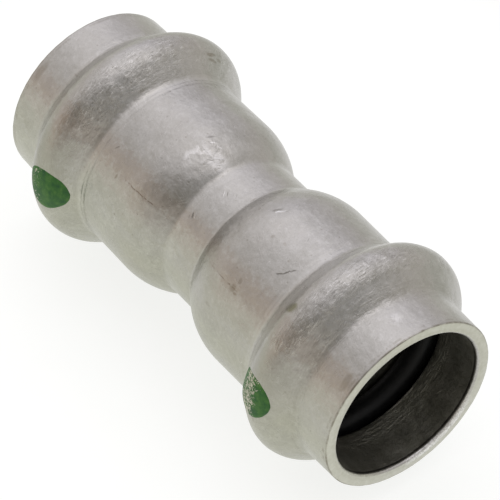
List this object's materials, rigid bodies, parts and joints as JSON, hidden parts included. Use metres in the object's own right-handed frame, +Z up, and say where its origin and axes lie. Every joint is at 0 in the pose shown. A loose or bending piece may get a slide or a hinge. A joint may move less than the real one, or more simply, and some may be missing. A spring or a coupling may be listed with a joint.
{
  "type": "press-fit pipe coupling",
  "caption": "Straight press-fit coupling for thin-walled tube: a formed steel body with a waist and two sealing beads, rubber rings inside the beads and painted marker dots.",
  "frame": {"origin": "middle of the fitting on the pipe axis", "axes": "+X along the pipe axis, out of socket a; +Z up, with the fitting lying on its two beads; the marker dots are on the -Y side"},
  "size_m": [0.069, 0.0327, 0.0326],
  "materials": {
    "stainless": "pickled, satin, with fine tooling marks",
    "black_rubber": "smooth moulded EPDM",
    "green_paint": "thin hand-dabbed paint, slightly worn"
  },
  "bodies": {
    "root": {"fitting_body": "stainless", "sealing_ring_a": "black_rubber", "sealing_ring_b": "black_rubber", "marker_dot_a": "green_paint", "marker_dot_b": "green_paint"}
  },
  "joints": []
}
